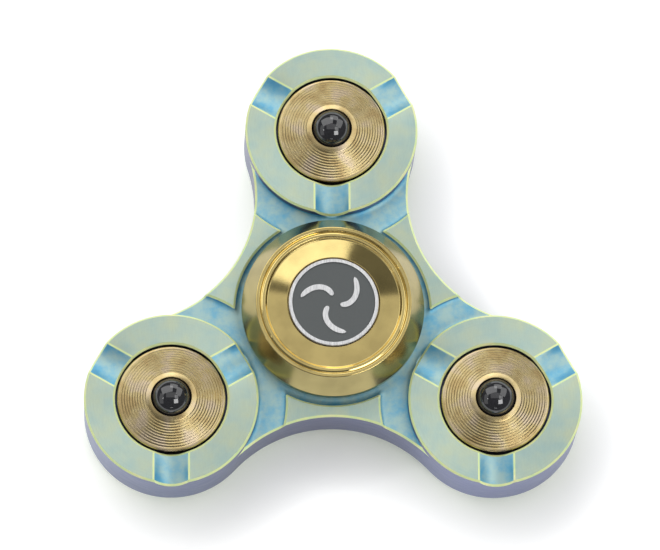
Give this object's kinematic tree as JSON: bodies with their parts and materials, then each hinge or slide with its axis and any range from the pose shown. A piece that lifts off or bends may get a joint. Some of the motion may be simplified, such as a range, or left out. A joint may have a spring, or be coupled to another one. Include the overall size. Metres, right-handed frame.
{
  "type": "fidget spinner",
  "caption": "Three-lobed fidget spinner: anodised metal body turning on a small ball bearing between two dished thumb buttons, with a grooved weight and ball in each lobe.",
  "frame": {"origin": "centre of the bearing at mid-thickness, within 0.1 mm of the centroid", "axes": "+Z along the spin axis out of the upper button, +Y towards lobe 1, +X across the other two lobes"},
  "size_m": [0.0554, 0.0506, 0.0126],
  "materials": {
    "body_titanium": "anodised titanium, pale green-gold machined faces, blue in the recesses",
    "button_gold": "polished gold-anodised, fine turning marks",
    "medallion": "dark grey field, satin silver rim and motif",
    "weight_bronze": "bronze-anodised, concentric turned grooves",
    "ceramic_ball": "polished black ceramic",
    "bearing_race": "ground bearing steel",
    "bearing_ball": "polished bearing steel",
    "ball_retainer": "stamped steel"
  },
  "bodies": {
    "hub": {"button_top": "button_gold", "button_bottom": "button_gold", "medallion_top": "medallion", "medallion_bottom": "medallion", "bearing_inner_race": "bearing_race"},
    "spinner": {"frame": "body_titanium", "bearing_outer_race": "bearing_race", "weight_top_1": "weight_bronze", "weight_bottom_1": "weight_bronze", "lobe_ball_top_1": "ceramic_ball", "lobe_ball_bottom_1": "ceramic_ball", "weight_top_2": "weight_bronze", "weight_bottom_2": "weight_bronze", "lobe_ball_top_2": "ceramic_ball", "lobe_ball_bottom_2": "ceramic_ball", "weight_top_3": "weight_bronze", "weight_bottom_3": "weight_bronze", "lobe_ball_top_3": "ceramic_ball", "lobe_ball_bottom_3": "ceramic_ball"},
    "cage": {"ball_retainer": "ball_retainer"},
    "bearing_ball_01": {"bearing_ball_01": "bearing_ball"},
    "bearing_ball_02": {"bearing_ball_02": "bearing_ball"},
    "bearing_ball_03": {"bearing_ball_03": "bearing_ball"},
    "bearing_ball_04": {"bearing_ball_04": "bearing_ball"},
    "bearing_ball_05": {"bearing_ball_05": "bearing_ball"},
    "bearing_ball_06": {"bearing_ball_06": "bearing_ball"},
    "bearing_ball_07": {"bearing_ball_07": "bearing_ball"},
    "bearing_ball_08": {"bearing_ball_08": "bearing_ball"},
    "bearing_ball_09": {"bearing_ball_09": "bearing_ball"},
    "bearing_ball_10": {"bearing_ball_10": "bearing_ball"}
  },
  "joints": [
    {"name": "frame_spin", "type": "hinge", "parent": "hub", "child": "spinner", "pos_m": [0, 0, 0], "axis": [0, 0, 1], "continuous": true},
    {"name": "cage_spin", "type": "hinge", "parent": "hub", "child": "cage", "pos_m": [0, 0, 0], "axis": [0, 0, 1], "continuous": true},
    {"name": "bearing_ball_01_spin", "type": "hinge", "parent": "cage", "child": "bearing_ball_01", "pos_m": [0.00476, 0, 0], "axis": [0, 0, 1], "continuous": true},
    {"name": "bearing_ball_02_spin", "type": "hinge", "parent": "cage", "child": "bearing_ball_02", "pos_m": [0.00385, 0.0028, 0], "axis": [0, 0, 1], "continuous": true},
    {"name": "bearing_ball_03_spin", "type": "hinge", "parent": "cage", "child": "bearing_ball_03", "pos_m": [0.00147, 0.00453, 0], "axis": [0, 0, 1], "continuous": true},
    {"name": "bearing_ball_04_spin", "type": "hinge", "parent": "cage", "child": "bearing_ball_04", "pos_m": [-0.00147, 0.00453, 0], "axis": [0, 0, 1], "continuous": true},
    {"name": "bearing_ball_05_spin", "type": "hinge", "parent": "cage", "child": "bearing_ball_05", "pos_m": [-0.00385, 0.0028, 0], "axis": [0, 0, 1], "continuous": true},
    {"name": "bearing_ball_06_spin", "type": "hinge", "parent": "cage", "child": "bearing_ball_06", "pos_m": [-0.00476, 0, 0], "axis": [0, 0, 1], "continuous": true},
    {"name": "bearing_ball_07_spin", "type": "hinge", "parent": "cage", "child": "bearing_ball_07", "pos_m": [-0.00385, -0.0028, 0], "axis": [0, 0, 1], "continuous": true},
    {"name": "bearing_ball_08_spin", "type": "hinge", "parent": "cage", "child": "bearing_ball_08", "pos_m": [-0.00147, -0.00453, 0], "axis": [0, 0, 1], "continuous": true},
    {"name": "bearing_ball_09_spin", "type": "hinge", "parent": "cage", "child": "bearing_ball_09", "pos_m": [0.00147, -0.00453, 0], "axis": [0, 0, 1], "continuous": true},
    {"name": "bearing_ball_10_spin", "type": "hinge", "parent": "cage", "child": "bearing_ball_10", "pos_m": [0.00385, -0.0028, 0], "axis": [0, 0, 1], "continuous": true}
  ],
  "couplings": [
    {"joint": "cage_spin", "follows": "frame_spin", "ratio": 0.60415},
    {"joint": "bearing_ball_01_spin", "follows": "frame_spin", "ratio": 2.2963},
    {"joint": "bearing_ball_02_spin", "follows": "frame_spin", "ratio": 2.2963},
    {"joint": "bearing_ball_03_spin", "follows": "frame_spin", "ratio": 2.2963},
    {"joint": "bearing_ball_04_spin", "follows": "frame_spin", "ratio": 2.2963},
    {"joint": "bearing_ball_05_spin", "follows": "frame_spin", "ratio": 2.2963},
    {"joint": "bearing_ball_06_spin", "follows": "frame_spin", "ratio": 2.2963},
    {"joint": "bearing_ball_07_spin", "follows": "frame_spin", "ratio": 2.2963},
    {"joint": "bearing_ball_08_spin", "follows": "frame_spin", "ratio": 2.2963},
    {"joint": "bearing_ball_09_spin", "follows": "frame_spin", "ratio": 2.2963},
    {"joint": "bearing_ball_10_spin", "follows": "frame_spin", "ratio": 2.2963}
  ]
}
